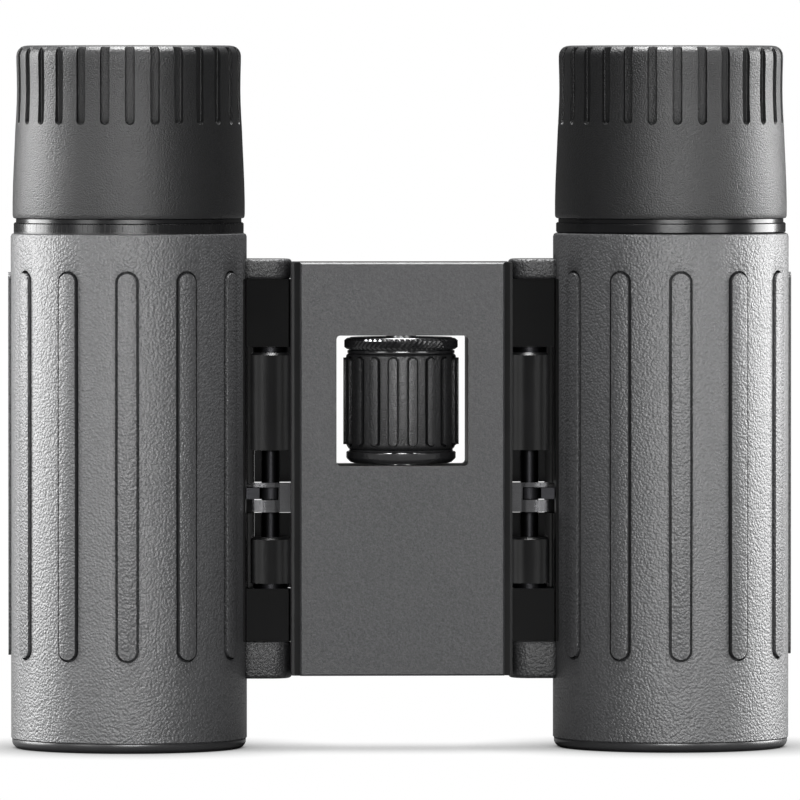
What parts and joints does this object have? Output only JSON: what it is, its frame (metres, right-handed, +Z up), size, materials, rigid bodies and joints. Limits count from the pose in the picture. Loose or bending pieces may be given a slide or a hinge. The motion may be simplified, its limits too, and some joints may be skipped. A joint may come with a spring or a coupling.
{
  "type": "folding binoculars",
  "caption": "Compact double-hinge roof-prism binoculars with ribbed rubber armour, fluted twist-up eyecups and a central focus wheel in a flat bridge.",
  "frame": {"origin": "middle of the plane that both objective rings stand on, midway between the barrels", "axes": "+Z up the optical axes to the eyepieces, +X across the barrels, -Y to the front with the cover plate and focus wheel"},
  "size_m": [0.104, 0.032, 0.0931],
  "materials": {
    "armour_rubber": "leathery fine grain, dark grey",
    "eyecup_rubber": "fine grain, dark grey",
    "wheel_rubber": "satin black",
    "satin_cover": "satin dark grey with fine speckle",
    "black_frame": "black, semi-gloss",
    "gloss_ring": "gloss black",
    "satin_ring": "satin black",
    "black_metal": "black anodised",
    "fork_metal": "bright machined",
    "steel": "turned",
    "brass": "turned",
    "coated_glass": "anti-reflection coated",
    "clear_glass": "polished"
  },
  "bodies": {
    "bridge": {"bridge_frame": "black_frame", "bridge_front_cover": "satin_cover", "bridge_rear_cover": "satin_cover", "cover_screws": "steel", "hinge_washers": "steel", "left_hinge_pin": "steel", "right_hinge_pin": "steel"},
    "focus_wheel": {"focus_wheel_core": "black_metal", "focus_wheel_grip": "wheel_rubber", "focus_screw": "steel"},
    "focus_carriage": {"focus_carriage": "black_metal", "focus_nut": "brass", "left_focus_fork": "fork_metal", "right_focus_fork": "fork_metal"},
    "left_barrel": {"left_armour": "armour_rubber", "left_barrel_tube": "black_frame", "left_hinge_bracket": "black_frame", "left_hinge_caps": "armour_rubber", "left_objective_ring": "satin_ring", "left_prism_holder": "black_frame", "left_prism_clamp": "steel", "left_lower_prism": "clear_glass", "left_upper_prism": "clear_glass", "left_eyepiece_base": "gloss_ring", "left_ocular_cell": "black_metal", "left_field_lens": "clear_glass", "left_eye_lens": "coated_glass", "left_ocular_retainer": "black_metal"},
    "right_barrel": {"right_armour": "armour_rubber", "right_barrel_tube": "black_frame", "right_hinge_bracket": "black_frame", "right_hinge_caps": "armour_rubber", "right_objective_ring": "satin_ring", "right_prism_holder": "black_frame", "right_prism_clamp": "steel", "right_lower_prism": "clear_glass", "right_upper_prism": "clear_glass", "right_eyepiece_base": "gloss_ring"},
    "right_ocular": {"right_ocular_cell": "black_metal", "right_field_lens": "clear_glass", "right_eye_lens": "coated_glass", "right_ocular_retainer": "black_metal"},
    "diopter_ring": {"diopter_ring": "gloss_ring"},
    "left_objective": {"left_objective_cell": "black_metal", "left_objective_crown_lens": "coated_glass", "left_objective_flint_lens": "clear_glass", "left_objective_retainer": "black_metal", "left_focus_arm": "fork_metal"},
    "left_eyecup_ring": {"left_eyecup_cam_ring": "gloss_ring"},
    "left_eyecup": {"left_eyecup_core": "gloss_ring", "left_eyecup": "eyecup_rubber"},
    "right_objective": {"right_objective_cell": "black_metal", "right_objective_crown_lens": "coated_glass", "right_objective_flint_lens": "clear_glass", "right_objective_retainer": "black_metal", "right_focus_arm": "fork_metal"},
    "right_eyecup_ring": {"right_eyecup_cam_ring": "gloss_ring"},
    "right_eyecup": {"right_eyecup_core": "gloss_ring", "right_eyecup": "eyecup_rubber"}
  },
  "joints": [
    {"name": "left_barrel_fold", "type": "hinge", "parent": "bridge", "child": "left_barrel", "pos_m": [-0.0172, 0, 0], "axis": [0, 0, -1], "range_deg": [0, 90]},
    {"name": "right_barrel_fold", "type": "hinge", "parent": "bridge", "child": "right_barrel", "pos_m": [0.0172, 0, 0], "axis": [0, 0, 1], "range_deg": [0, 90]},
    {"name": "focus_wheel_turn", "type": "hinge", "parent": "bridge", "child": "focus_wheel", "pos_m": [0, -0.0037, 0], "axis": [0, 0, 1], "range_deg": [-54.1, 306.1]},
    {"name": "focus_carriage_slide", "type": "slide", "parent": "bridge", "child": "focus_carriage", "axis": [0, 0, 1], "range_m": [-0.0017, 0.0003]},
    {"name": "left_objective_slide", "type": "slide", "parent": "left_barrel", "child": "left_objective", "axis": [0, 0, 1], "range_m": [-0.0017, 0.0003]},
    {"name": "left_eyecup_turn", "type": "hinge", "parent": "left_barrel", "child": "left_eyecup_ring", "pos_m": [-0.036, 0, 0], "axis": [0, 0, 1], "range_deg": [0, 120]},
    {"name": "left_eyecup_lift", "type": "slide", "parent": "left_eyecup_ring", "child": "left_eyecup", "axis": [0, 0, 1], "range_m": [0, 0.005]},
    {"name": "right_objective_slide", "type": "slide", "parent": "right_barrel", "child": "right_objective", "axis": [0, 0, 1], "range_m": [-0.0017, 0.0003]},
    {"name": "right_eyecup_turn", "type": "hinge", "parent": "right_barrel", "child": "right_eyecup_ring", "pos_m": [0.036, 0, 0], "axis": [0, 0, 1], "range_deg": [0, 120]},
    {"name": "right_eyecup_lift", "type": "slide", "parent": "right_eyecup_ring", "child": "right_eyecup", "axis": [0, 0, 1], "range_m": [0, 0.005]},
    {"name": "diopter_turn", "type": "hinge", "parent": "right_barrel", "child": "diopter_ring", "pos_m": [0.036, 0, 0], "axis": [0, 0, 1], "range_deg": [-60.1, 60.1]},
    {"name": "right_ocular_slide", "type": "slide", "parent": "right_barrel", "child": "right_ocular", "axis": [0, 0, 1], "range_m": [-0.0006, 0.0006]}
  ],
  "couplings": [
    {"joint": "focus_wheel_turn", "follows": "focus_carriage_slide", "rad_per_m": -3141.6},
    {"joint": "left_objective_slide", "follows": "focus_carriage_slide", "ratio": 1},
    {"joint": "right_objective_slide", "follows": "focus_carriage_slide", "ratio": 1},
    {"joint": "left_eyecup_lift", "follows": "left_eyecup_turn", "m_per_rad": 0.0023873},
    {"joint": "right_eyecup_lift", "follows": "right_eyecup_turn", "m_per_rad": 0.0023873},
    {"joint": "diopter_turn", "follows": "right_ocular_slide", "rad_per_m": 1745.3}
  ]
}
